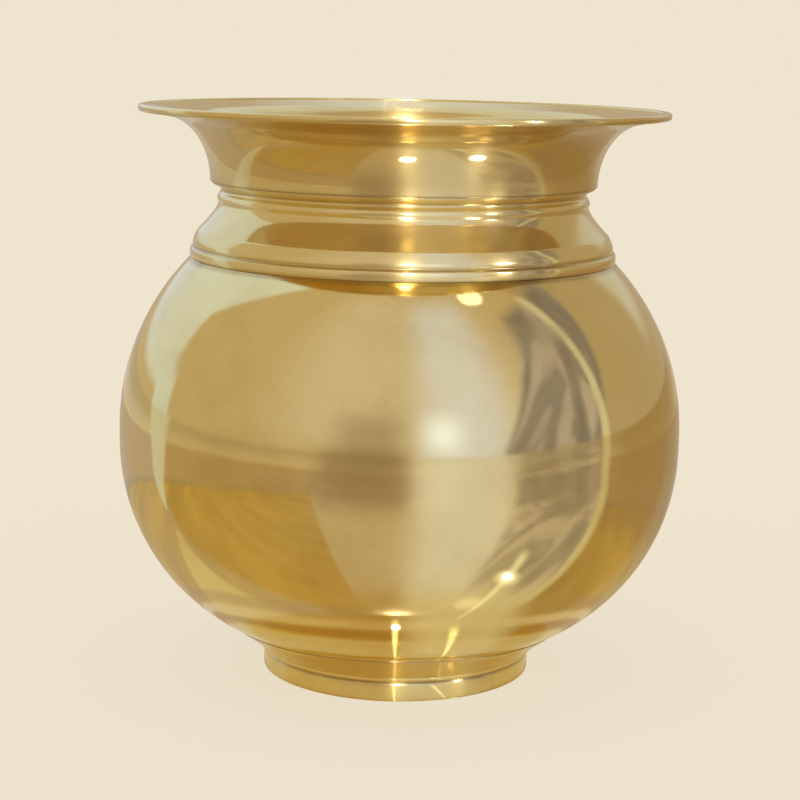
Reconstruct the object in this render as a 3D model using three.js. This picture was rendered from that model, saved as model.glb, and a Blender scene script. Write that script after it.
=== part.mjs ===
// A spun brass lota: a round water pot with a ribbed collar, a flared mouth and a soldered foot ring.
// It is made as a brazier makes it, from five pieces of sheet that lap at four soldered seams.
// Millimetres, +Z up. The origin is the centre of the circle that the foot ring stands on.

import * as THREE from 'three';

// Sheet and joints
const sheet = 0.9;              // wall of the bowls, the collar and the mouth
const solderGap = 0.15;         // room between lapped walls, which the solder runs into
const bellyLap = 3;             // how far the lower bowl reaches up inside the upper bowl
const neckLap = 2.5;            // how far the collar reaches up inside the mouth
const bellyJoggle = 1.6;        // height over which the lower bowl's wall steps in for its lap
const solderLeg = 0.8;          // leg of the solder fillet in each inside corner

// Bowls
const bellyRadius = 60.2;       // outside, at the widest place
const lowerArcRadius = 44.3;    // outside profile below the widest place
const upperArcRadius = 51.7;    // outside profile above it
const bandHeight = 3;           // upright band between the two arcs
const bottomRise = 5.7;         // height of the bowl's flat bottom over the table
const bottomDome = 0.7;         // how far the middle of the bottom is pushed up
const domeShare = 0.6;          // share of that rise halfway out

// Foot ring
const footRadius = 29;          // outside, at the table
const footWall = 1.7;           // wall of the ring
const footFaceHeight = 3.7;     // upright face below the groove
const footGrooveHeight = 0.7;
const footGrooveDepth = 0.3;
const footEdgeRound = 0.4;      // rounding of the outer edge at the table
const footBeadHeight = 0.9;     // bead above the groove
const footBeadSwell = 0.8;      // how far the bead stands out over the face
const flangeRadius = 37;        // outer edge of the ring's flange, which lies against the bowl
const flangeEdge = 0.25;        // thickness of that edge
const flangeSweep = { out: 0.3, up: 0.36 };   // where the flange's hollow curve is pulled to, as shares

// Ribbed collar, from the shoulder up
const shoulderRadius = 45.2;    // outside of the collar's skirt, where it lands on the shoulder
const skirtHeight = 1.9;
const skirtCrown = 0.12;        // how far the skirt swells
const nickHeight = 0.85;
const nickDepth = 0.32;
const ridgeInset = 0.5;         // how much smaller the ridge is than the skirt
const noseHeight = 2.8;         // rounding of the ridge's upper edge
const noseDrop = 1.0;
const coveHeight = 5.95;
const coveDepth = 4.5;          // how far the cove runs in, from the ridge's nose
const coveHollow = 1.35;        // 1 is a straight cone, and more is hollower
const beadHeight = 1.8;
const beadSwell = 0.3;
const grooveHeight = 2.2;
const grooveDepth = 1.1;
const stopHeight = 0.4;         // the raised line that the mouth piece stands on

// Flared mouth
const neckRadius = 41;          // outside, at the mouth piece's lower edge
const flareReach = 10;          // half width of the ellipse that the flare follows
const flareRise = 13.6;         // its half height
const brimAngle = 12;           // slope of the brim, in degrees
const rimRadius = 56;           // outside of the lip
const lipRadius = 0.75;         // radius of the rounded lip

// Fineness of the turned surfaces
const turnSteps = 40;
const bowlSteps = 9;
const flareSteps = 8;
const lipSteps = 6;
const flangeSteps = 5;
const collarSteps = { skirt: 3, nose: 3, cove: 6, bead: 4, groove: 4 };
const collarInsideSteps = { groove: 3, bead: 2, cove: 4 };

// Heights and radii that follow from the sizes above
const seamHeight = bottomRise + lowerArcRadius;
const flatRadius = bellyRadius - lowerArcRadius;
const upperCentre = { radius: bellyRadius - upperArcRadius, height: seamHeight + bandHeight };
const upstandRadius = shoulderRadius - sheet - solderGap;
const collarBase = shoulderTop(shoulderRadius) + solderGap;
const stopRadius = neckRadius - sheet / 2;
const spigotRadius = neckRadius - sheet - solderGap;
const skirtTop = skirtHeight;
const nickTop = skirtTop + nickHeight;
const noseTop = nickTop + noseHeight;
const coveTop = noseTop + coveHeight;
const beadTop = coveTop + beadHeight;
const grooveTop = beadTop + grooveHeight;
const stopTop = grooveTop + stopHeight;
const ridgeRadius = shoulderRadius - ridgeInset;
const noseRadius = ridgeRadius - noseDrop;
const coveRadius = noseRadius - coveDepth;
const mouthBase = collarBase + stopTop;

// Underside of the lower bowl, at a radius outside its flat bottom
function bowlUnderside(radius) {
  return seamHeight - Math.sqrt(lowerArcRadius ** 2 - (radius - flatRadius) ** 2);
}

// Outside of the upper bowl, at a radius
function shoulderTop(radius) {
  return upperCentre.height + Math.sqrt(upperArcRadius ** 2 - (radius - upperCentre.radius) ** 2);
}

function point(radius, height) {
  return new THREE.Vector2(radius, height);
}

// Points of an ellipse about (radius, height), between two angles in radians
function ellipse(radius, height, halfWidth, halfHeight, from, to, steps) {
  return Array.from({ length: steps + 1 }, (_, i) => {
    const angle = from + (to - from) * i / steps;
    return point(radius + halfWidth * Math.cos(angle), height + halfHeight * Math.sin(angle));
  });
}

function circle(radius, height, size, from, to, steps) {
  return ellipse(radius, height, size, size, from, to, steps);
}

// A solid of revolution. The outline runs with its solid on the left, and ends where it starts or on the axis.
function turned(name, outline, material) {
  const onAxis = outline[0].x === 0;
  const profile = onAxis ? outline : [...outline, outline[0].clone()];
  const geometry = new THREE.LatheGeometry(profile, turnSteps);
  geometry.rotateX(Math.PI / 2);
  const mesh = new THREE.Mesh(geometry, material);
  mesh.name = name;
  return mesh;
}

// Outside radius of the collar, at a rise over its base
function collarRadius(rise) {
  if (rise <= skirtTop) {
    return shoulderRadius + skirtCrown * Math.sin(Math.PI * rise / skirtTop);
  }
  if (rise <= nickTop) {
    const share = (rise - skirtTop) / nickHeight;
    return shoulderRadius - ridgeInset * share - nickDepth * Math.sin(Math.PI * share);
  }
  if (rise <= noseTop) {
    const share = (rise - nickTop) / noseHeight;
    return ridgeRadius - noseDrop * (1 - Math.cos(share * Math.PI / 2));
  }
  if (rise <= coveTop) {
    const share = (coveTop - rise) / coveHeight;
    return coveRadius + coveDepth * share ** coveHollow;
  }
  if (rise <= beadTop) {
    return coveRadius + beadSwell * Math.sin(Math.PI * (rise - coveTop) / beadHeight);
  }
  const share = Math.min(1, (rise - beadTop) / grooveHeight);
  return coveRadius + (stopRadius - coveRadius) * share - grooveDepth * Math.sin(Math.PI * share);
}

// Inside radius of the collar: the wall is one sheet thick, square to its slope
function collarInside(rise) {
  const step = 0.05;
  const steepest = 1.5;
  const slope = (collarRadius(rise + step) - collarRadius(rise - step)) / (2 * step);
  return collarRadius(rise) - sheet * Math.hypot(1, Math.min(steepest, Math.abs(slope)));
}

// Numbers from one to another, in equal steps
function evenly(from, to, steps) {
  return Array.from({ length: steps + 1 }, (_, i) => from + (to - from) * i / steps);
}

function lowerBowl(material) {
  const lapOutside = bellyRadius - sheet - solderGap;
  const quarter = Math.PI / 2;
  const insideArc = circle(flatRadius, seamHeight, lowerArcRadius - sheet,
    -Math.asin(bellyJoggle / (lowerArcRadius - sheet)), -quarter, bowlSteps);
  return turned('lower_bowl', [
    point(0, bottomRise + bottomDome),
    point(flatRadius / 2, bottomRise + bottomDome * domeShare),
    ...circle(flatRadius, seamHeight, lowerArcRadius, -quarter, 0, bowlSteps + 1),
    point(lapOutside, seamHeight),
    point(lapOutside, seamHeight + bellyLap),
    point(lapOutside - sheet, seamHeight + bellyLap),
    point(lapOutside - sheet, seamHeight),
    ...insideArc,
    point(flatRadius / 2, bottomRise + sheet + bottomDome * domeShare),
    point(0, bottomRise + sheet + bottomDome),
  ], material);
}

function upperBowl(material) {
  const insideSize = upperArcRadius - sheet;
  const outsideEnd = Math.acos((upstandRadius - upperCentre.radius) / upperArcRadius);
  const insideEnd = Math.acos((upstandRadius - sheet - upperCentre.radius) / insideSize);
  const upstandTop = collarBase + skirtTop;
  return turned('upper_bowl', [
    point(bellyRadius, seamHeight),
    ...circle(upperCentre.radius, upperCentre.height, upperArcRadius, 0, outsideEnd, bowlSteps),
    point(upstandRadius, upstandTop),
    point(upstandRadius - sheet, upstandTop),
    ...circle(upperCentre.radius, upperCentre.height, insideSize, insideEnd, 0, bowlSteps),
    point(bellyRadius - sheet, seamHeight),
  ], material);
}

function ribbedCollar(material) {
  const insideSkirt = shoulderRadius - sheet;
  const insideBase = shoulderTop(insideSkirt) + solderGap;
  const outside = [
    ...evenly(0, skirtTop, collarSteps.skirt),
    skirtTop + nickHeight / 2,
    ...evenly(nickTop, noseTop, collarSteps.nose),
    ...evenly(noseTop, coveTop, collarSteps.cove).slice(1),
    ...evenly(coveTop, beadTop, collarSteps.bead).slice(1),
    ...evenly(beadTop, grooveTop, collarSteps.groove).slice(1),
  ];
  const inside = [
    ...evenly(grooveTop, beadTop, collarInsideSteps.groove),
    ...evenly(beadTop, coveTop, collarInsideSteps.bead).slice(1),
    ...evenly(coveTop, noseTop, collarInsideSteps.cove).slice(1),
    nickTop,
  ];
  return turned('ribbed_collar', [
    ...outside.map((rise) => point(collarRadius(rise), collarBase + rise)),
    point(stopRadius, mouthBase),
    point(spigotRadius, mouthBase),
    point(spigotRadius, mouthBase + neckLap),
    point(spigotRadius - sheet, mouthBase + neckLap),
    point(spigotRadius - sheet, mouthBase),
    ...inside.map((rise) => point(collarInside(rise), collarBase + rise)),
    point(insideSkirt, collarBase + skirtTop),
    point(insideSkirt, insideBase),
  ], material);
}

// The flare is a quarter of an ellipse that runs out into a straight brim
const brimSlope = Math.tan(THREE.MathUtils.degToRad(brimAngle));
const brimStart = Math.PI - Math.atan2(flareRise, flareReach * brimSlope);

// A point of the flare: depth 0 is the outside of the sheet, and depth 1 the inside
function flarePoint(angle, depth) {
  const slopeAcross = Math.cos(angle) * flareRise;
  const slopeUp = Math.sin(angle) * flareReach;
  const length = Math.hypot(slopeAcross, slopeUp);
  return point(
    neckRadius + flareReach + flareReach * Math.cos(angle) + depth * sheet * slopeAcross / length,
    mouthBase + flareRise * Math.sin(angle) + depth * sheet * slopeUp / length,
  );
}

function flaredMouth(material) {
  const angles = Array.from({ length: flareSteps + 1 },
    (_, i) => Math.PI + (brimStart - Math.PI) * i / flareSteps);
  const under = angles.map((angle) => flarePoint(angle, 0));
  const over = angles.map((angle) => flarePoint(angle, 1)).reverse();
  const middle = flarePoint(brimStart, 0.5);
  const lipCentre = rimRadius - lipRadius;
  const lipHeight = middle.y + (lipCentre - middle.x) * brimSlope;
  const lipTurn = Math.PI - Math.asin(sheet / 2 / lipRadius);
  const slope = Math.atan(brimSlope);
  return turned('flared_mouth', [
    ...under,
    ...circle(lipCentre, lipHeight, lipRadius, slope - lipTurn, slope + lipTurn, lipSteps),
    ...over,
  ], material);
}

// The ring's flange sweeps out from the bead in a hollow curve, to a thin edge against the bowl
function footRing(material) {
  const inside = footRadius - footWall;
  const grooveMiddle = footFaceHeight + footGrooveHeight / 2;
  const beadBase = footFaceHeight + footGrooveHeight;
  const beadRadius = footRadius + footBeadSwell;
  const seat = (radius) => point(radius, bowlUnderside(radius) - solderGap);
  const beadTop = point(beadRadius, beadBase + footBeadHeight);
  const flangeTop = point(flangeRadius, bowlUnderside(flangeRadius) - solderGap - flangeEdge);
  const hollow = point(
    beadRadius + (flangeRadius - beadRadius) * flangeSweep.out,
    beadTop.y + (flangeTop.y - beadTop.y) * flangeSweep.up,
  );
  const sweep = new THREE.QuadraticBezierCurve(beadTop, hollow, flangeTop);
  const seatPoints = evenly(flangeRadius, inside, flangeSteps).map(seat);
  return turned('foot_ring', [
    point(inside, 0),
    point(footRadius - footEdgeRound, 0),
    point(footRadius, footEdgeRound),
    point(footRadius, footFaceHeight),
    point(footRadius - footGrooveDepth, grooveMiddle),
    point((footRadius + beadRadius) / 2, beadBase),
    point(beadRadius, beadBase + footBeadHeight / 2),
    ...sweep.getPoints(flangeSteps),
    ...seatPoints,
  ], material);
}

// Solder in the corner under the bowl, inside the foot ring
function footSolder(material) {
  const wall = footRadius - footWall - solderGap;
  const under = (radius) => bowlUnderside(radius) - solderGap;
  return turned('foot_solder', [
    point(wall - solderLeg, under(wall - solderLeg)),
    point(wall, under(wall) - solderLeg),
    point(wall, under(wall)),
  ], material);
}

// Solder that stands on a lap's upper edge, in the corner with the wall outside it
function edgeSolder(name, edgeRadius, edgeHeight, wallRadius, material) {
  return turned(name, [
    point(edgeRadius - solderLeg, edgeHeight),
    point(edgeRadius, edgeHeight),
    point(wallRadius(edgeHeight + solderLeg) - solderGap, edgeHeight + solderLeg),
  ], material);
}

const bellySolder = (material) => edgeSolder('belly_solder',
  bellyRadius - sheet - solderGap, seamHeight + bellyLap, bowlInside, material);
const shoulderSolder = (material) => edgeSolder('shoulder_solder',
  upstandRadius, collarBase + skirtTop, (height) => collarInside(height - collarBase), material);
const neckSolder = (material) => edgeSolder('neck_solder',
  spigotRadius, mouthBase + neckLap, flareInside, material);

// Inside of the upper bowl, at a height over its band
function bowlInside(height) {
  return upperCentre.radius
    + Math.sqrt((upperArcRadius - sheet) ** 2 - Math.max(0, height - upperCentre.height) ** 2);
}

// Inside of the mouth piece, at a height near its lower edge
function flareInside(height) {
  const share = (height - mouthBase) / flareRise;
  return neckRadius - sheet + flareReach * (1 - Math.sqrt(1 - share ** 2));
}

const brass = (name) => new THREE.MeshStandardMaterial({ name, color: 0xd8b45c, roughness: 0.16, metalness: 1 });
const solder = new THREE.MeshStandardMaterial({ name: 'solder', color: 0xc9b070, roughness: 0.45, metalness: 1 });

const lota = new THREE.Group();
lota.add(
  footRing(brass('foot_brass')),
  lowerBowl(brass('bowl_brass')),
  upperBowl(brass('bowl_brass')),
  ribbedCollar(brass('collar_brass')),
  flaredMouth(brass('mouth_brass')),
  footSolder(solder),
  bellySolder(solder),
  shoulderSolder(solder),
  neckSolder(solder),
);

export default lota;
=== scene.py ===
import math

import bmesh
import bpy
from mathutils import Matrix, Vector, noise


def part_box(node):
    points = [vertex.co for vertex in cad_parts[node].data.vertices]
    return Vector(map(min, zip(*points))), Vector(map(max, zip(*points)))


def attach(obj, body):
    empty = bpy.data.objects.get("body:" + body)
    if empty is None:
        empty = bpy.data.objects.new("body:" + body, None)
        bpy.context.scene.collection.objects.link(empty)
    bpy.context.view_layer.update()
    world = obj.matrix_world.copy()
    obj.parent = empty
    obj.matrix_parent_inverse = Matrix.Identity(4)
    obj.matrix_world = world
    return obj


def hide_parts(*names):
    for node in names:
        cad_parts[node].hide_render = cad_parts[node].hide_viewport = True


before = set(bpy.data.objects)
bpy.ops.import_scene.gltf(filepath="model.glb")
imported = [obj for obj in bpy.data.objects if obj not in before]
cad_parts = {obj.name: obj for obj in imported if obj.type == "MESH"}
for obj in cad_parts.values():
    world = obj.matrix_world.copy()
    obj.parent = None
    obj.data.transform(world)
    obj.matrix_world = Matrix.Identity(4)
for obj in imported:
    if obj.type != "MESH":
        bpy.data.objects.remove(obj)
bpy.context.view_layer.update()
mm = 0.001


def span(node):
    # radius, bottom and top of a round node, in mm
    low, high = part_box(node)
    return high.x / mm, low.z / mm, high.z / mm


print("stage: frame loaded")

# Camera

cameraSet = {
    "distance": 0.4367,    # from the pot's axis
    "height": 0.1366,
    "pitchDown": 10.14,    # degrees
    "roll": 1.07,
    "lens": 92.2,
    "sensor": 36.0,
}


def makeCamera(s):
    data = bpy.data.cameras.new("camera")
    data.lens = s["lens"]
    data.sensor_width = s["sensor"]
    data.clip_start = 0.01
    camera = bpy.data.objects.new("camera", data)
    bpy.context.scene.collection.objects.link(camera)
    tilt = Matrix.Rotation(math.radians(90 - s["pitchDown"]), 4, "X")
    roll = Matrix.Rotation(math.radians(s["roll"]), 4, "Z")
    camera.matrix_world = Matrix.Translation((0, -s["distance"], s["height"])) @ tilt @ roll
    bpy.context.scene.camera = camera


makeCamera(cameraSet)


# Node maths

class Value:
    # a socket that can be used in sums
    def __init__(self, maker, socket):
        self.maker, self.socket = maker, socket

    def math(self, operation, *others, swap=False, clamp=False):
        terms = [self, *others]
        if swap:
            terms.reverse()
        return self.maker.node("ShaderNodeMath", {"operation": operation, "use_clamp": clamp},
                               dict(enumerate(terms)))

    def __add__(self, other):
        return self.math("ADD", other)

    def __radd__(self, other):
        return self.math("ADD", other)

    def __sub__(self, other):
        return self.math("SUBTRACT", other)

    def __rsub__(self, other):
        return self.math("SUBTRACT", other, swap=True)

    def __mul__(self, other):
        return self.math("MULTIPLY", other)

    def __rmul__(self, other):
        return self.math("MULTIPLY", other)

    def __abs__(self):
        return self.math("ABSOLUTE")


class Nodes:
    def __init__(self, tree):
        self.tree = tree
        self.tree.nodes.clear()

    def node(self, kind, settings=None, sockets=None, out=0):
        made = self.tree.nodes.new(kind)
        for key, value in (settings or {}).items():
            setattr(made, key, value)
        for key, value in (sockets or {}).items():
            if isinstance(value, Value):
                self.tree.links.new(value.socket, made.inputs[key])
            else:
                made.inputs[key].default_value = value
        return Value(self, made.outputs[out]) if made.outputs else made

    def outputs(self, kind, *names):
        made = self.tree.nodes.new(kind)
        return [Value(self, made.outputs[name]) for name in names]

    def ramp(self, value, low, high):
        # 0 below low, 1 above high, smooth between
        return self.node("ShaderNodeMapRange", {"interpolation_type": "SMOOTHSTEP"},
                         {"Value": value, "From Min": low, "From Max": high})

    def blend(self, factor, a, b):
        return self.node("ShaderNodeMix", {"data_type": "RGBA"}, {0: factor, 6: a, 7: b}, out=2)

    def between(self, value, low, high, soft):
        return self.ramp(value, low - soft, low + soft) * (1 - self.ramp(value, high - soft, high + soft))

    def cloud(self, scale, stretch=(1, 1, 1), detail=3, rough=0.5, seed=0, place=None, swirl=0.0):
        # noise in the pot's own metres, unless another place is given
        place = place or self.node("ShaderNodeTexCoord", out=3)
        moved = self.node("ShaderNodeMapping", {}, {"Vector": place, "Scale": stretch,
                                                    "Location": (seed, seed * 0.7, seed * 1.3)})
        return self.node("ShaderNodeTexNoise", {}, {"Vector": moved, "Scale": scale, "Detail": detail,
                                                    "Roughness": rough, "Distortion": swirl})

    def axes(self, vector):
        return [self.node("ShaderNodeSeparateXYZ", {}, {0: vector}, out=i) for i in range(3)]

    def height(self):
        return self.axes(self.node("ShaderNodeTexCoord", out=3))[2]

    def bearing(self, x, y):
        # degrees rightwards from straight ahead of the pot
        return x.math("ARCTAN2", y * -1) * math.degrees(1)


class Finish(Nodes):
    def __init__(self, name):
        self.material = bpy.data.materials.new(name)
        self.material.use_nodes = True
        super().__init__(self.material.node_tree)

    def done(self, surface):
        self.node("ShaderNodeOutputMaterial", {}, {"Surface": surface})
        return self.material


def colour(red, green, blue):
    # a colour given as it looks on screen, 0 to 255
    return tuple((c / 255 / 12.92 if c / 255 <= 0.04045 else ((c / 255 + 0.055) / 1.055) ** 2.4)
                 for c in (red, green, blue)) + (1,)


# Brass

brassSet = {
    "gold": colour(236, 216, 154),
    "amber": colour(230, 203, 132),
    "dull": colour(212, 187, 124),
    "patinaAndShade": colour(96, 58, 18),
    "toneScale": 14,         # patches of gold and amber
    "cloudScale": 38, "cloudDull": 0.55,
    "wipeScale": 30, "wipeStretch": (1, 1, 3.5),
    "polish": 0.045,         # roughness of clean metal
    "smudge": 0.2,           # what a smudge adds
    "brushed": 0.34,         # roughness of the brushed share
    "lineScale": 60, "lineStretch": (1, 1, 60),
    "lineDepth": 0.000004,   # fine turning lines
    "lineRough": 0.03,
    "dentScale": 24, "dentDepth": 0.00012,
    "dirtAndShadeWidth": 0.0006,    # how far the dirt and painted shade reach out of a groove
    "dirtAndShade": 0.6, "dirtAndShadeRough": 0.18,
    "anisotropic": 0.9, "turningAngle": 0.25,
}


def brassTone(f, cloudy, undersideShade, s):
    tone = f.blend(f.ramp(f.cloud(s["toneScale"], detail=2, seed=1.3), 0.35, 0.68), s["gold"], s["amber"])
    if undersideShade:
        # painted shade: the side that faces down is dulled towards the darker tone
        facing = f.axes(f.node("ShaderNodeTexCoord", out=1))[2]
        tone = f.blend(undersideShade * (1 - f.ramp(facing, -0.2, 0.2)), tone, s["dull"])
    return f.blend(cloudy * s["cloudDull"], tone, s["dull"])


# dark bands at the given heights: dirt in the grooves and joints, a darker line on the bowl below the
# skirt, and painted shade at the foot's seat under the bowl
def dirtAndShadeIn(f, cloudy, grooves, width):
    rise = f.height()
    dirtAndShadeSum = 0.0
    for groove in grooves:
        dirtAndShadeSum = dirtAndShadeSum + (1 - f.ramp(abs(rise - groove * mm), 0.0, width))
    return dirtAndShadeSum.math("MULTIPLY", 0.55 + 0.45 * cloudy, clamp=True)


def brass(name, grooves, dirtAndShadeWidth=brassSet["dirtAndShadeWidth"], streaks=0.0, undersideShade=0.0, s=brassSet):
    f = Finish(name)
    cloudy = f.ramp(f.cloud(s["cloudScale"], detail=5, rough=0.62, seed=4.1), 0.45, 0.72)
    wiped = f.ramp(f.cloud(s["wipeScale"], stretch=s["wipeStretch"], detail=4, seed=7.7), 0.48, 0.7)
    lines = f.cloud(s["lineScale"], stretch=s["lineStretch"], detail=4, rough=0.7, seed=2.2)
    # the tone darkens towards patina with dirt in the grooves and painted shade at the foot's seat
    dirtAndShade = dirtAndShadeIn(f, cloudy, grooves, dirtAndShadeWidth)
    tone = f.blend(dirtAndShade * s["dirtAndShade"], brassTone(f, cloudy, undersideShade, s), s["patinaAndShade"])
    rough = s["polish"] + s["smudge"] * cloudy * wiped + s["lineRough"] * f.ramp(lines, 0.5, 0.8)
    rough = rough + s["dirtAndShadeRough"] * dirtAndShade
    relief = lines * s["lineDepth"] + f.cloud(s["dentScale"], detail=1, seed=9.4) * s["dentDepth"]
    normal = f.node("ShaderNodeBump", {}, {"Strength": 1.0, "Distance": 1.0, "Height": relief})
    metal = f.node("ShaderNodeBsdfPrincipled", {}, {
        "Base Color": tone, "Roughness": rough, "Metallic": 1.0, "Normal": normal})
    if streaks:
        # turned pieces draw each light out into an upright streak
        brushed = f.node("ShaderNodeBsdfPrincipled", {}, {
            "Base Color": tone, "Roughness": s["brushed"], "Metallic": 1.0, "Normal": normal,
            "Anisotropic": s["anisotropic"], "Anisotropic Rotation": s["turningAngle"]})
        metal = f.node("ShaderNodeMixShader", {}, {0: streaks, 1: metal, 2: brushed})
    return f.done(metal)


solderSet = {
    "leg": 0.8,
    "hollow": (0.55, 0.28),    # where the fillet's face is pulled to, as shares of the leg
    "pale": colour(222, 190, 118),
    "dark": colour(168, 128, 66),
    "mottleScale": 900, "mottleDepth": 0.00006,
    "polish": 0.28, "dulled": 0.2,
}


def solderFinish(s=solderSet):
    f = Finish("solder")
    mottle = f.ramp(f.cloud(s["mottleScale"], detail=4, seed=3.3), 0.35, 0.7)
    tone = f.blend(mottle, s["pale"], s["dark"])
    normal = f.node("ShaderNodeBump", {}, {
        "Strength": 1.0, "Distance": 1.0, "Height": mottle * s["mottleDepth"]})
    return f.done(f.node("ShaderNodeBsdfPrincipled", {}, {
        "Base Color": tone, "Roughness": s["polish"] + s["dulled"] * mottle, "Metallic": 1.0,
        "Normal": normal}))


# Turned shapes

turning = {
    "steps": 200,           # sides round the pot
    "wobble": 0.10,         # mm that the hand-beaten wall wanders
    "wobbleSize": 26.0,
    "wobbleRadius": 60.0,
    "cornerSteps": 4,
    "cornerShare": 0.45,    # the most of a side that a rounding takes
    "sharp": 42,            # degrees over which an edge shows as sharp
}


def oval(radius, height, halfWidth, halfHeight, start, end, steps):
    angles = [math.radians(start + (end - start) * i / steps) for i in range(steps + 1)]
    return [(radius + halfWidth * math.cos(a), height + halfHeight * math.sin(a)) for a in angles]


def arc(radius, height, size, start, end, steps):
    return oval(radius, height, size, size, start, end, steps)


def eased(outline, s=turning):
    # a third number at a point rounds that corner off by so many mm
    points = []
    count = len(outline)
    for i, corner in enumerate(outline):
        here = Vector(corner[:2])
        if len(corner) < 3:
            points.append(here)
            continue
        before = Vector(outline[i - 1][:2]) - here
        after = Vector(outline[(i + 1) % count][:2]) - here
        start = here + before.normalized() * min(corner[2], before.length * s["cornerShare"])
        end = here + after.normalized() * min(corner[2], after.length * s["cornerShare"])
        for k in range(s["cornerSteps"] + 1):
            t = k / s["cornerSteps"]
            points.append(start * (1 - t) ** 2 + here * 2 * t * (1 - t) + end * t ** 2)
    return points


def wander(angle, height, s=turning):
    place = Vector((math.cos(angle), math.sin(angle), 0)) * s["wobbleRadius"] + Vector((0, 0, height))
    return s["wobble"] * noise.noise(place / s["wobbleSize"])


def turned(name, node, outline, material, s=turning):
    points = eased(outline)
    onAxis = points[0].x < 1e-6
    mesh = bpy.data.meshes.new(name)
    build = bmesh.new()
    rings = []
    for radius, height in points:
        if radius < 1e-6:
            rings.append([build.verts.new((0, 0, height * mm))])
            continue
        ring = []
        for i in range(s["steps"]):
            angle = 2 * math.pi * i / s["steps"]
            r = (radius + wander(angle, height)) * mm
            ring.append(build.verts.new((r * math.cos(angle), r * math.sin(angle), height * mm)))
        rings.append(ring)
    pairs = list(zip(rings, rings[1:])) + ([] if onAxis else [(rings[-1], rings[0])])
    for lower, upper in pairs:
        for i in range(s["steps"]):
            j = (i + 1) % s["steps"]
            if len(lower) == 1:
                build.faces.new((lower[0], upper[j], upper[i]))
            elif len(upper) == 1:
                build.faces.new((lower[i], lower[j], upper[0]))
            else:
                build.faces.new((lower[i], lower[j], upper[j], upper[i]))
    bmesh.ops.recalc_face_normals(build, faces=build.faces)
    build.to_mesh(mesh)
    build.free()
    mesh.shade_smooth()
    mesh.set_sharp_from_angle(angle=math.radians(s["sharp"]))
    mesh.materials.append(material)
    piece = bpy.data.objects.new(name, mesh)
    bpy.context.scene.collection.objects.link(piece)
    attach(piece, "root")
    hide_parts(node)
    return piece


# Bowls

wall = {
    "sheet": 0.9,
    "gap": 0.15,           # room between lapped walls
    "edge": 0.25,          # roundings of corners
    "crisp": 0.1,
    "hidden": 0.05,
}

bowlSet = {
    "lowerArc": 44.3,
    "upperArc": 51.7,
    "band": 3.0,           # upright band at the widest place
    "lap": 3.0,
    "joggle": 1.6,
    "dome": 0.7,
    "fineness": 60,
}
bellyRadius, seamHeight, upstandTop = span("upper_bowl")
bottomHeight = seamHeight - bowlSet["lowerArc"]
flatRadius = bellyRadius - bowlSet["lowerArc"]
upperCentre = (bellyRadius - bowlSet["upperArc"], seamHeight + bowlSet["band"])


def bowlUnder(radius):
    return seamHeight - math.sqrt(bowlSet["lowerArc"] ** 2 - (radius - flatRadius) ** 2)


def makeLowerBowl(material, s=bowlSet, w=wall):
    lapOut = bellyRadius - w["sheet"] - w["gap"]
    insideArc = s["lowerArc"] - w["sheet"]
    joggle = math.degrees(math.asin(s["joggle"] / insideArc))
    outline = [
        (0, bottomHeight + s["dome"]),
        *arc(flatRadius, seamHeight, s["lowerArc"], -90, -1, s["fineness"]),
        (bellyRadius, seamHeight),
        (lapOut, seamHeight, w["crisp"]),
        (lapOut, seamHeight + s["lap"], w["crisp"]),
        (lapOut - w["sheet"], seamHeight + s["lap"], w["edge"]),
        (lapOut - w["sheet"], seamHeight, 0.6),
        *arc(flatRadius, seamHeight, insideArc, -joggle, -90, s["fineness"]),
        (0, bottomHeight + w["sheet"] + s["dome"]),
    ]
    return turned("lower_bowl_spun", "lower_bowl", outline, material)


def makeUpperBowl(material, s=bowlSet, w=wall):
    insideArc = s["upperArc"] - w["sheet"]
    outEnd = math.degrees(math.acos((upstandRadius - upperCentre[0]) / s["upperArc"]))
    inEnd = math.degrees(math.acos((upstandRadius - w["sheet"] - upperCentre[0]) / insideArc))
    outline = [
        (bellyRadius, seamHeight),
        *arc(*upperCentre, s["upperArc"], 0, outEnd, s["fineness"]),
        (upstandRadius, upstandTop, w["crisp"]),
        (upstandRadius - w["sheet"], upstandTop, w["edge"]),
        *arc(*upperCentre, insideArc, inEnd, 0, s["fineness"]),
        (bellyRadius - w["sheet"], seamHeight, w["crisp"]),
    ]
    return turned("upper_bowl_spun", "upper_bowl", outline, material)


# Ribbed collar

collarSet = {
    "skirtRadius": 45.2,
    "skirt": 1.9, "crown": 0.12,
    "nick": 0.85, "nickDepth": 0.32,
    "ridgeInset": 0.5,
    "nose": 2.8, "noseDrop": 1.0,
    "cove": 5.95, "coveDepth": 4.5, "coveHollow": 1.35,
    "bead": 1.8, "beadSwell": 0.3,
    "groove": 2.2, "grooveDepth": 1.1,
    "stop": 0.4,
    "lap": 2.5,
    "step": 0.16,          # fineness along the outline
    "slopeStep": 0.05,
    "steepest": 1.5,       # slope over which the inside follows no further
    "darkLineDrop": 0.3,      # a darker line below the skirt, on the bowl
    "dirtAndShadeWidth": 0.0009,
}
collarBase = span("ribbed_collar")[1]
_, mouthBase, mouthTop = span("flared_mouth")
neckRadius = 41.0
rimRadius = span("flared_mouth")[0]
upstandRadius = collarSet["skirtRadius"] - wall["sheet"] - wall["gap"]


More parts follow.
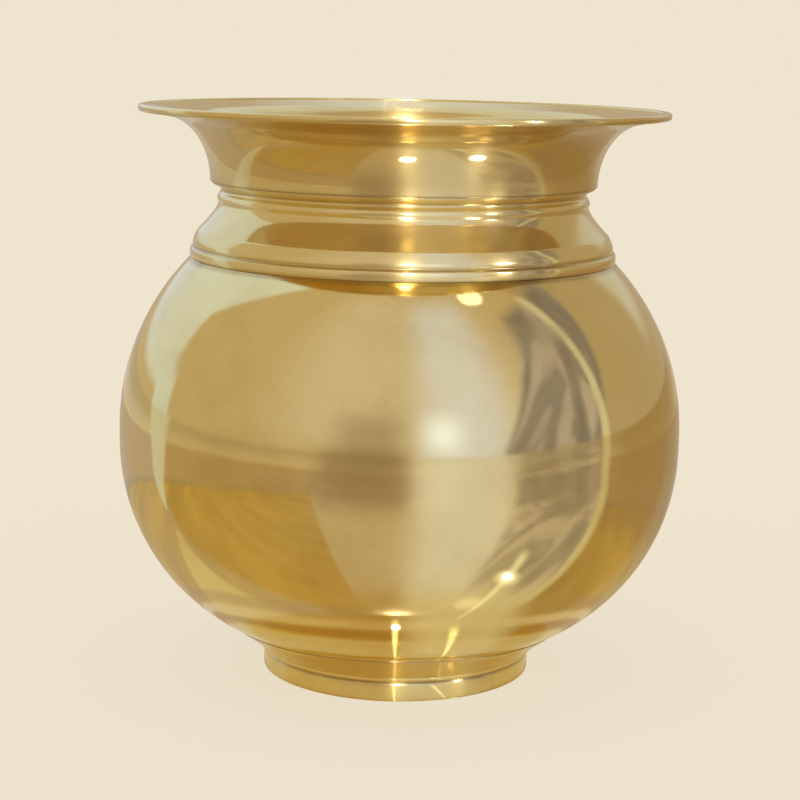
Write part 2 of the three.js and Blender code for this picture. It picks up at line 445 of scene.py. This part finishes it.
def collarRadius(rise, s=collarSet):
    # the turned profile, from the skirt's edge up
    if rise <= s["skirt"]:
        return s["skirtRadius"] + s["crown"] * math.sin(math.pi * max(rise, 0) / s["skirt"])
    rise -= s["skirt"]
    if rise <= s["nick"]:
        t = rise / s["nick"]
        return s["skirtRadius"] - s["ridgeInset"] * t - s["nickDepth"] * math.sin(math.pi * t)
    rise -= s["nick"]
    ridge = s["skirtRadius"] - s["ridgeInset"]
    if rise <= s["nose"]:
        return ridge - s["noseDrop"] * (1 - math.cos(rise / s["nose"] * math.pi / 2))
    rise -= s["nose"]
    cove = ridge - s["noseDrop"] - s["coveDepth"]
    if rise <= s["cove"]:
        return cove + s["coveDepth"] * (1 - rise / s["cove"]) ** s["coveHollow"]
    rise -= s["cove"]
    if rise <= s["bead"]:
        return cove + s["beadSwell"] * math.sin(math.pi * rise / s["bead"])
    t = min(1, (rise - s["bead"]) / s["groove"])
    stop = neckRadius - wall["sheet"] / 2
    return cove + (stop - cove) * t - s["grooveDepth"] * math.sin(math.pi * t)


def collarInside(rise, s=collarSet):
    step = s["slopeStep"]
    slope = (collarRadius(rise + step) - collarRadius(rise - step)) / (2 * step)
    return collarRadius(rise) - wall["sheet"] * math.hypot(1, min(s["steepest"], abs(slope)))


def makeCollar(material, s=collarSet, w=wall):
    grooveTop = s["skirt"] + s["nick"] + s["nose"] + s["cove"] + s["bead"] + s["groove"]
    nickTop = s["skirt"] + s["nick"]
    count = round(grooveTop / s["step"])
    rises = [grooveTop * i / count for i in range(count + 1)]
    spigot = neckRadius - w["sheet"] - w["gap"]
    skirtInside = s["skirtRadius"] - w["sheet"]
    outline = [
        (collarRadius(0), collarBase, 0.15),
        *[(collarRadius(r), collarBase + r) for r in rises[1:]],
        (neckRadius - w["sheet"] / 2, mouthBase, 0.12),
        (spigot, mouthBase, w["hidden"]),
        (spigot, mouthBase + s["lap"], w["crisp"]),
        (spigot - w["sheet"], mouthBase + s["lap"], w["edge"]),
        (spigot - w["sheet"], mouthBase, 0.4),
        *[(collarInside(r), collarBase + r) for r in reversed(rises) if r > nickTop + 0.3],
        (skirtInside, collarBase + s["skirt"], 0.2),
        (skirtInside, collarBase, w["hidden"]),
    ]
    return turned("ribbed_collar_turned", "ribbed_collar", outline, material)


# Flared mouth

mouthSet = {
    "reach": 10.0,            # half width of the flare's ellipse
    "rise": 13.6,
    "brimAngle": 12.0,
    "lip": 0.75,
    "lipSteps": 20,
    "lipSquareness": 0.7,     # 1 is round, and less has a flatter outer face
    "fineness": 64,
}


def flareAngle(t, s=mouthSet):
    slope = math.tan(math.radians(s["brimAngle"]))
    end = math.pi - math.atan2(s["rise"], s["reach"] * slope)
    return math.pi + (end - math.pi) * t


def flarePoint(angle, depth, s=mouthSet):
    across, up = math.cos(angle) * s["rise"], math.sin(angle) * s["reach"]
    length = math.hypot(across, up)
    return (neckRadius + s["reach"] + s["reach"] * math.cos(angle) + depth * across / length,
            mouthBase + s["rise"] * math.sin(angle) + depth * up / length)


def lipOutline(radius, height, turn, s=mouthSet):
    points = []
    for i in range(s["lipSteps"] + 1):
        a = math.radians(s["brimAngle"] - turn + 2 * turn * i / s["lipSteps"])
        c, z = math.cos(a), math.sin(a)
        points.append((radius + s["lip"] * math.copysign(abs(c) ** s["lipSquareness"], c),
                       height + s["lip"] * math.copysign(abs(z) ** s["lipSquareness"], z)))
    return points


def makeMouth(material, s=mouthSet, w=wall):
    angles = [flareAngle(i / s["fineness"]) for i in range(s["fineness"] + 1)]
    middle = flarePoint(angles[-1], w["sheet"] / 2)
    lipCentre = rimRadius - s["lip"]
    lipHeight = middle[1] + (lipCentre - middle[0]) * math.tan(math.radians(s["brimAngle"]))
    turn = 180 - math.degrees(math.asin(w["sheet"] / 2 / s["lip"]))
    under = [flarePoint(a, 0) for a in angles]
    outline = [
        (*under[0], 0.2),
        *under[1:],
        *lipOutline(lipCentre, lipHeight, turn),
        *[flarePoint(a, w["sheet"]) for a in reversed(angles[1:])],
        (*flarePoint(angles[0], w["sheet"]), w["crisp"]),
    ]
    return turned("flared_mouth_spun", "flared_mouth", outline, material)


# Foot ring

footSet = {
    "wall": 1.7,
    "face": 3.7,
    "groove": 0.7, "grooveDepth": 0.3,
    "edge": 0.4,
    "bead": 0.9, "beadSwell": 0.8,
    "flange": 37.0, "flangeEdge": 0.12,
    "seatGap": 0.02,       # between the flange's edge and the bowl
    "sweepOut": 0.3, "sweepUp": 0.36,   # where the flange's hollow is pulled to, as shares
    "fineness": 24,
}
footRadius = 29.0


def sweep(start, hollow, end, steps):
    a, b, c = Vector(start), Vector(hollow), Vector(end)
    shares = [i / steps for i in range(steps + 1)]
    return [tuple(a * (1 - t) ** 2 + b * 2 * t * (1 - t) + c * t ** 2) for t in shares]


def makeFoot(material, s=footSet, w=wall):
    inside = footRadius - s["wall"]
    beadBase = s["face"] + s["groove"]
    beadOut = footRadius + s["beadSwell"]
    beadTop = (beadOut, beadBase + s["bead"])
    flangeTop = (s["flange"], bowlUnder(s["flange"]) - s["seatGap"] - s["flangeEdge"])
    hollow = (beadOut + (s["flange"] - beadOut) * s["sweepOut"],
              beadTop[1] + (flangeTop[1] - beadTop[1]) * s["sweepUp"])
    shares = [i / s["fineness"] for i in range(1, s["fineness"] + 1)]
    across = [s["flange"] + (inside - s["flange"]) * t for t in shares]
    outline = [
        (inside, 0, 0.25),
        (footRadius, 0, s["edge"]),
        (footRadius, s["face"], 0.3),
        (footRadius - s["grooveDepth"], s["face"] + s["groove"] / 2, 0.2),
        ((footRadius + beadOut) / 2, beadBase, 0.3),
        (beadOut, beadBase + s["bead"] / 2, 0.4),
        *sweep(beadTop, hollow, flangeTop, s["fineness"]),
        (s["flange"], bowlUnder(s["flange"]) - s["seatGap"]),
        *[(r, bowlUnder(r) - w["gap"]) for r in across],
    ]
    return turned("foot_ring_turned", "foot_ring", outline, material)


# Solder

def makeSolder(name, node, edgeRadius, edgeHeight, wallRadius, material):
    leg = solderSet["leg"]
    inwards, up = solderSet["hollow"]
    outline = [
        (edgeRadius - leg, edgeHeight, wall["crisp"]),
        (edgeRadius, edgeHeight, wall["hidden"]),
        (wallRadius - wall["gap"], edgeHeight + leg, wall["crisp"]),
        ((edgeRadius + wallRadius) / 2 - leg * inwards, edgeHeight + leg * up, 0.3),
    ]
    return turned(name, node, outline, material)


def makeFootSolder(material):
    leg = solderSet["leg"]
    side = footRadius - footSet["wall"] - wall["gap"]
    outline = [
        (side - leg, bowlUnder(side - leg) - wall["gap"], wall["crisp"]),
        (side - leg * 0.3, bowlUnder(side) - wall["gap"] - leg * 0.35, 0.3),
        (side, bowlUnder(side) - wall["gap"] - leg, wall["crisp"]),
        (side, bowlUnder(side) - wall["gap"], wall["hidden"]),
    ]
    return turned("foot_solder_run", "foot_solder", outline, material)


def makePot():
    w, bowl = wall, bowlSet
    nickHeight = collarBase + collarSet["skirt"] + collarSet["nick"] / 2
    grooveHeight = mouthBase - collarSet["stop"] - collarSet["groove"] / 2
    bowlBrass = brass("bowl_brass", grooves=(collarBase - collarSet["darkLineDrop"],),
                      dirtAndShadeWidth=collarSet["dirtAndShadeWidth"])
    collarBrass = brass("collar_brass", grooves=(collarBase, nickHeight, grooveHeight, mouthBase),
                        streaks=0.35)
    # the mouth's down-facing side gets painted shade
    mouthBrass = brass("mouth_brass", grooves=(mouthBase,), streaks=0.3, undersideShade=0.6)
    footGroove = footSet["face"] + footSet["groove"] / 2
    seatHeight = bowlUnder(footSet["flange"])
    # the seat, where the flange meets the bowl, gets a band of painted shade
    footBrass = brass("foot_brass", grooves=(footGroove, seatHeight), streaks=0.35)
    makeLowerBowl(bowlBrass)
    makeUpperBowl(bowlBrass)
    ribbed = [makeCollar(collarBrass), makeMouth(mouthBrass), makeFoot(footBrass)]
    solder = solderFinish()
    bellyEdge = bellyRadius - w["sheet"] - w["gap"]
    bellyTop = seamHeight + bowl["lap"]
    insideArc = bowl["upperArc"] - w["sheet"]
    bellyWall = upperCentre[0] + math.sqrt(
        insideArc ** 2 - max(0, bellyTop + solderSet["leg"] - upperCentre[1]) ** 2)
    makeSolder("belly_solder_run", "belly_solder", bellyEdge, bellyTop, bellyWall, solder)
    shoulderWall = collarInside(collarSet["skirt"] + solderSet["leg"])
    makeSolder("shoulder_solder_run", "shoulder_solder", upstandRadius, upstandTop, shoulderWall, solder)
    neckEdge = neckRadius - w["sheet"] - w["gap"]
    share = (collarSet["lap"] + solderSet["leg"]) / mouthSet["rise"]
    neckWall = neckRadius - w["sheet"] + mouthSet["reach"] * (1 - math.sqrt(1 - share ** 2))
    makeSolder("neck_solder_run", "neck_solder", neckEdge, mouthBase + collarSet["lap"], neckWall, solder)
    makeFootSolder(solder)
    return ribbed


ribbedPieces = makePot()
print("stage: pot made")

# Surroundings

roomSet = {
    "backdrop": colour(239, 228, 206),
    "floorSize": 12.0,
    "floorGlow": 0.86,       # how much of the floor's look is flat colour
    "wall": (0.61, 0.51, 0.355, 1),
    "lowWall": (0.50, 0.415, 0.29, 1),
    "beyond": (0.47, 0.34, 0.19, 1),   # between the table and the wall
    "table": (0.52, 0.34, 0.06, 1),
    "tableMiddle": (-0.03, -0.06, 0),
    "tableEdge": 0.20,
    "wallFoot": 0.46,
    "edgeSoft": 0.004,
    "rimLine": (-0.006, 0.012, 0.005), "rimCover": 0.5, "rimDark": 0.6,
    "grainScale": 9, "grainStretch": (1, 6, 1), "grainTones": (0.86, 1.14),
    "skirting": (0.03, 0.008), "skirtingCover": 0.7, "skirtingPale": 1.45,
    "wallSoft": 0.05,
    "farWall": (0.6, 1.1),
    "tableGloss": 0.22,
    "tableRoughness": 0.12,
    "mirrorBounces": 10,     # the ribs mirror each other many times
}
clothSet = {
    "across": 0.045, "up": 0.016, "lean": 0.02,   # folds to a degree
    "swirl": 1.6,
    "dark": 0.62, "pale": 1.25,
    "creaseWidth": 0.035, "creaseCover": 0.45, "creaseDark": 0.5,
    "tableScale": 300,       # degrees to a metre of table
}

# What the metal sees of the room. Each patch is a range of bearing, from straight ahead of the
# pot and rightwards, and of height over the horizon, both in degrees. A lean moves its sides
# with height, and soft and fade are the softness of its sides and of its ends.
roomPatches = {
    "wallLight": {
        "bearing": (-48, 60), "height": (2, 75), "soft": 22, "fade": 12,
        "light": (0.72, 0.65, 0.62), "cover": 0.9},
    "rightWall": {
        "bearing": (91, 200), "height": (-20, 95), "soft": 3, "fade": 8,
        "light": (0.51, 0.425, 0.31), "cover": 1.0},
    "backWall": {
        "bearing": (-200, -165), "height": (-20, 95), "soft": 8, "fade": 8,
        "light": (0.51, 0.425, 0.31), "cover": 1.0},
    "backLeft": {
        "bearing": (-174, -111), "height": (4, 62), "soft": 1.5, "fade": 2,
        "light": (0.76, 0.86, 1.05), "cover": 0.95},
    "topLeft": {
        "bearing": (-195, -136), "height": (27, 75), "soft": 1.5, "fade": 1.5,
        "light": (0.76, 0.86, 1.05), "cover": 0.95, "lean": 0.8},
    "leftDoor": {
        "bearing": (-120, -107), "height": (-20, 12), "soft": 1.2, "fade": 3,
        "light": (0.72, 0.82, 1.0), "cover": 0.95},
    "backRight": {
        "bearing": (138, 170), "height": (9, 62), "soft": 5, "fade": 4,
        "light": (0.70, 0.76, 0.85), "cover": 0.7},
    "backTopLeft": {
        "bearing": (-200, -156), "height": (24, 62), "soft": 8, "fade": 4,
        "light": (0.76, 0.86, 1.05), "cover": 0.95},
    "backTopRight": {
        "bearing": (156, 200), "height": (24, 62), "soft": 8, "fade": 4,
        "light": (0.76, 0.86, 1.05), "cover": 0.95},
    "window": {
        "bearing": (9, 44), "height": (-20, 68), "soft": 12, "fade": 8,
        "light": (0.80, 0.90, 1.36), "cover": 0.9},
    "pane": {
        "bearing": (10, 24), "height": (2, 17), "soft": 7, "fade": 7,
        "light": (1.15, 1.36, 2.1), "cover": 0.85},
    "cloth": {
        "bearing": (42, 88), "height": (-20, 54), "soft": 2.5, "fade": 3,
        "light": (0.43, 0.40, 0.46), "cover": 1.0, "lean": 0.45},
    "clothEdge": {
        "bearing": (88, 92), "height": (-20, 56), "soft": 0.8, "fade": 2,
        "light": (0.80, 0.80, 0.72), "cover": 0.8},
    "haze": {
        "bearing": (-24, 0), "height": (-4, 17), "soft": 8, "fade": 7,
        "light": (0.42, 0.36, 0.31), "cover": 0.75},
    "shade": {
        "bearing": (-31, 2), "height": (-20, 1), "soft": 6, "fade": 5,
        "light": (0.32, 0.235, 0.155), "cover": 0.85},
}

# The same on the table: bearings round each patch's tip, and metres from it. One without a bearing
# is a ring.
tablePatches = {
    "doorStrip": {
        "tip": (-0.13, 0), "bearing": (-120, -104), "reach": (0, 9), "soft": 1.5, "fade": 0.01,
        "light": (0.66, 0.66, 0.60), "cover": 0.95},
    "doorGlare": {
        "tip": (-0.110, -0.01), "bearing": (66, 91), "reach": (0, 0.08), "soft": 2, "fade": 0.01,
        "light": (0.72, 0.60, 0.20), "cover": 0.85},
    "mat": {
        "tip": (0, -0.045), "bearing": (-36, 90), "reach": (0.025, 0.24), "soft": 1.2, "fade": 0.012,
        "light": (0.62, 0.52, 0.38), "cover": 0.9},
    "matLight": {
        "tip": (0, -0.03), "bearing": (4, 50), "reach": (0.03, 9), "soft": 9, "fade": 0.02,
        "light": (0.80, 0.80, 0.84), "cover": 0.85},
    "shade": {
        "tip": (0, 0), "bearing": (-30, 3), "reach": (0.2, 9), "soft": 5, "fade": 0.09,
        "light": (0.32, 0.235, 0.165), "cover": 0.85},
    "matFolds": {
        "tip": (0, -0.045), "bearing": (50, 90), "reach": (0.03, 9), "soft": 3, "fade": 0.02,
        "light": (0.50, 0.43, 0.38), "cover": 0.85},
    "matEdge": {
        "tip": (0, -0.045), "bearing": (88, 92), "reach": (0.03, 9), "soft": 1, "fade": 0.01,
        "light": (0.78, 0.70, 0.45), "cover": 0.8},
    # rings round the pot: painted shade under the belly, with paler bands of painted light between
    "outerRing": {
        "tip": (0, 0), "reach": (0.0535, 0.06), "fade": 0.002,
        "light": (0.44, 0.27, 0.09), "cover": 0.6},
    "paleRing": {
        "tip": (0, 0), "reach": (0.0475, 0.052), "fade": 0.0015,
        "light": (0.74, 0.58, 0.33), "cover": 0.85},
    "darkRing": {
        "tip": (0, 0), "reach": (0.0425, 0.0465), "fade": 0.0015,
        "light": (0.42, 0.235, 0.06), "cover": 0.85},
    "innerRing": {
        "tip": (0, 0), "reach": (0.03, 0.041), "fade": 0.001,
        "light": (0.70, 0.56, 0.28), "cover": 0.85},
    "nearLight": {
        "tip": (0, 0), "bearing": (4, 42), "reach": (0.03, 0.072), "soft": 9, "fade": 0.01,
        "light": (0.84, 0.80, 0.60), "cover": 0.75},
    # painted highlights: streaks of light and a glint's halo lying on the table
    "streak": {
        "tip": (0.0126, -0.047), "bearing": (60.5, 64.5), "reach": (0.006, 0.06), "soft": 3, "fade": 0.008,
        "light": (1.35, 1.35, 1.15), "cover": 0.85},
    "starHalo": {
        "tip": (0.045, -0.064), "reach": (-1, 0.004), "fade": 0.004,
        "light": (1.9, 1.9, 1.7), "cover": 0.9},
    "frontStreak": {
        "tip": (0, -0.025), "bearing": (-2.5, 1.5), "reach": (0.004, 0.027), "soft": 1.5, "fade": 0.003,
        "light": (2.2, 2.1, 1.3), "cover": 0.95},
    "sideStreak": {
        "tip": (0.010, -0.024), "bearing": (14, 20), "reach": (0.004, 0.022), "soft": 2.5, "fade": 0.003,
        "light": (1.9, 1.9, 1.3), "cover": 0.9},
    "farSide": {
        "tip": (0, -0.045), "bearing": (93, 150), "reach": (0.12, 9), "soft": 12, "fade": 0.03,
        "light": (0.35, 0.22, 0.09), "cover": 0.8},
}


def shaded(light, share):
    return (*(share * c for c in light[:3]), 1)


def creased(n, bearing, height, light, s=clothSet):
    # hanging cloth: soft folds with thin creases between them, with painted light and shade on the folds
    # and painted shade in the creases
    place = n.node("ShaderNodeCombineXYZ", {}, {
        0: bearing * s["across"] - height * s["lean"], 1: height * s["up"]})
    fold = n.cloud(1.0, detail=2, rough=0.55, seed=3.7, place=place, swirl=s["swirl"])
    crease = 1 - n.ramp(abs(fold - 0.5), 0.0, s["creaseWidth"])
    tone = n.blend(n.ramp(fold, 0.38, 0.64), shaded(light, s["dark"]), shaded(light, s["pale"]))
    return n.blend(crease * s["creaseCover"], tone, shaded(light, s["creaseDark"]))


def makeWorld(s, patches):
    world = bpy.data.worlds.new("world")
    bpy.context.scene.world = world
    world.use_nodes = True
    n = Nodes(world.node_tree)
    x, y, z = n.axes(n.outputs("ShaderNodeTexCoord", "Generated")[0])
    bearing = n.bearing(x, y)
    height = z.math("ARCSINE") * math.degrees(1)
    seen = s["wall"]
    for name, patch in patches.items():
        aside = bearing - height * patch["lean"] if "lean" in patch else bearing
        mask = n.between(aside, *patch["bearing"], patch["soft"])
        mask = mask * n.between(height, *patch["height"], patch["fade"])
        tint = (*patch["light"], 1)
        if name == "cloth":
            tint = creased(n, bearing, height, patch["light"])
        seen = n.blend(mask * patch["cover"], seen, tint)
    glossy, camera = n.outputs("ShaderNodeLightPath", "Is Glossy Ray", "Is Camera Ray")
    plain = n.blend(camera, (1, 1, 1, 1), s["backdrop"])
    glow = n.node("ShaderNodeBackground", {}, {"Color": n.blend(glossy, plain, seen), "Strength": 1.0})
    n.node("ShaderNodeOutputWorld", {}, {"Surface": glow})


def woodTone(f, place, s):
    grain = f.cloud(s["grainScale"], stretch=s["grainStretch"], detail=4, seed=5.1, place=place)
    dark, pale = s["grainTones"]
    return f.blend(f.ramp(grain, 0.3, 0.7), shaded(s["table"], dark), shaded(s["table"], pale))


def makeTable(f, s, patches):
    # the table as the metal sees it, with the wall behind it
    place = f.node("ShaderNodeTexCoord", out=3)
    fromMiddle = f.node("ShaderNodeVectorMath", {"operation": "DISTANCE"},
                        {0: place, 1: s["tableMiddle"]}, out=1)
    fromPot = f.node("ShaderNodeVectorMath", {"operation": "LENGTH"}, {0: place}, out=1)
    edge, soft, foot = s["tableEdge"], s["edgeSoft"], s["wallFoot"]
    seen = f.blend(f.ramp(fromMiddle, edge - soft, edge + soft), woodTone(f, place, s), s["beyond"])
    rimStart, rimEnd, rimSoft = s["rimLine"]
    rim = f.between(fromMiddle, edge + rimStart, edge + rimEnd, rimSoft)
    seen = f.blend(rim * s["rimCover"], seen, shaded(s["beyond"], s["rimDark"]))
    wallTone = f.blend(f.ramp(fromPot, *s["farWall"]), s["wall"], s["lowWall"])
    seen = f.blend(f.ramp(fromPot, foot, foot + s["wallSoft"]), seen, wallTone)
    width, skirtingSoft = s["skirting"]
    skirting = f.between(fromPot, foot, foot + width, skirtingSoft)
    seen = f.blend(skirting * s["skirtingCover"], seen, shaded(s["wall"], s["skirtingPale"]))
    for name, patch in patches.items():
        away = f.node("ShaderNodeVectorMath", {"operation": "SUBTRACT"}, {0: place, 1: (*patch["tip"], 0)})
        reach = f.node("ShaderNodeVectorMath", {"operation": "LENGTH"}, {0: away}, out=1)
        mask = f.between(reach, *patch["reach"], patch["fade"])
        tint = (*patch["light"], 1)
        if "bearing" in patch:
            x, y, _ = f.axes(away)
            bearing = f.bearing(x, y)
            mask = mask * f.between(bearing, *patch["bearing"], patch["soft"])
        if name == "matFolds":
            tint = creased(f, bearing, reach * clothSet["tableScale"], patch["light"])
        seen = f.blend(mask * patch["cover"], seen, tint)
    return seen


def makeFloor(s, patches):
    f = Finish("floor")
    glossy = f.outputs("ShaderNodeLightPath", "Is Glossy Ray")[0]
    plain = f.node("ShaderNodeMixShader", {}, {
        0: s["floorGlow"],
        1: f.node("ShaderNodeBsdfDiffuse", {}, {"Color": s["backdrop"]}),
        2: f.node("ShaderNodeEmission", {}, {"Color": s["backdrop"], "Strength": 1.0})})
    table = f.node("ShaderNodeMixShader", {}, {
        0: s["tableGloss"],
        1: f.node("ShaderNodeEmission", {}, {"Color": makeTable(f, s, patches), "Strength": 1.0}),
        2: f.node("ShaderNodeBsdfAnisotropic", {}, {
            "Color": (1, 1, 1, 1), "Roughness": s["tableRoughness"]})})
    surface = f.node("ShaderNodeMixShader", {}, {0: glossy, 1: plain, 2: table})
    mesh = bpy.data.meshes.new("floor")
    half = s["floorSize"] / 2
    mesh.from_pydata([(-half, -half, 0), (half, -half, 0), (half, half, 0), (-half, half, 0)],
                     [], [(0, 1, 2, 3)])
    mesh.materials.append(f.done(surface))
    floor = bpy.data.objects.new("floor", mesh)
    bpy.context.scene.collection.objects.link(floor)


# bearing and height in degrees, size in metres, glow as a share of white
lamps = {
    "bulb": {"bearing": 0, "height": 83, "size": 0.07, "glow": 500},
    "secondBulb": {"bearing": 62, "height": 66, "size": 0.22, "glow": 1.5},
    "softLamp": {"bearing": -50, "height": 62, "size": 1.2, "glow": 0.3, "shown": False},
    "ribLamp": {"bearing": 3, "height": 14, "size": 0.15, "glow": 110, "ribsOnly": True},
    "secondRibLamp": {"bearing": 54, "height": 14, "size": 0.15, "glow": 90, "ribsOnly": True},
}
lampSet = {
    "middle": (0, 0, 0.06),   # what the lamps are turned to
    "distance": 1.6,
    "glintLift": 0.0005,
}
# small bright spots lying on the table, in metres
glints = {
    "starGlint": {"place": (0.045, -0.064), "size": 0.0045, "glow": 14},
    "footGlint": {"place": (0, -0.049), "size": 0.0025, "glow": 12},
    "neckGlint": {"place": (0.004, -0.124), "size": 0.02, "glow": 30, "ribsOnly": True},
    "secondNeckGlint": {"place": (0.086, -0.089), "size": 0.02, "glow": 30, "ribsOnly": True},
}


def makeLamp(name, place, towards, size, glow):
    data = bpy.data.lights.new(name, "AREA")
    data.shape = "DISK"
    data.size = size
    data.energy = glow * math.pi * math.pi * size ** 2 / 4
    lamp = bpy.data.objects.new(name, data)
    bpy.context.scene.collection.objects.link(lamp)
    turn = (towards - place).to_track_quat("-Z", "Y").to_matrix().to_4x4()
    lamp.matrix_world = Matrix.Translation(place) @ turn
    lamp.visible_camera = False
    return lamp


def makeLamps(ribbed):
    ribs = bpy.data.collections.new("ribs")
    for piece in ribbed:
        ribs.objects.link(piece)
    middle = Vector(lampSet["middle"])
    for name, s in lamps.items():
        a, e = math.radians(s["bearing"]), math.radians(s["height"])
        away = Vector((math.sin(a) * math.cos(e), -math.cos(a) * math.cos(e), math.sin(e)))
        lamp = makeLamp(name, middle + away * lampSet["distance"], middle, s["size"], s["glow"])
        lamp.visible_glossy = s.get("shown", True)
        if s.get("ribsOnly"):
            lamp.light_linking.receiver_collection = ribs
        elif lamp.visible_glossy:
            lamp.visible_diffuse = False
    for name, s in glints.items():
        place = Vector((*s["place"], lampSet["glintLift"]))
        lamp = makeLamp(name, place, place + Vector((0, 0, 1)), s["size"], s["glow"])
        if s.get("ribsOnly"):
            lamp.light_linking.receiver_collection = ribs


makeWorld(roomSet, roomPatches)
makeFloor(roomSet, tablePatches)
makeLamps(ribbedPieces)
print("stage: surroundings made")

bpy.context.scene.cycles.glossy_bounces = roomSet["mirrorBounces"]
bpy.context.scene.view_settings.view_transform = "Standard"
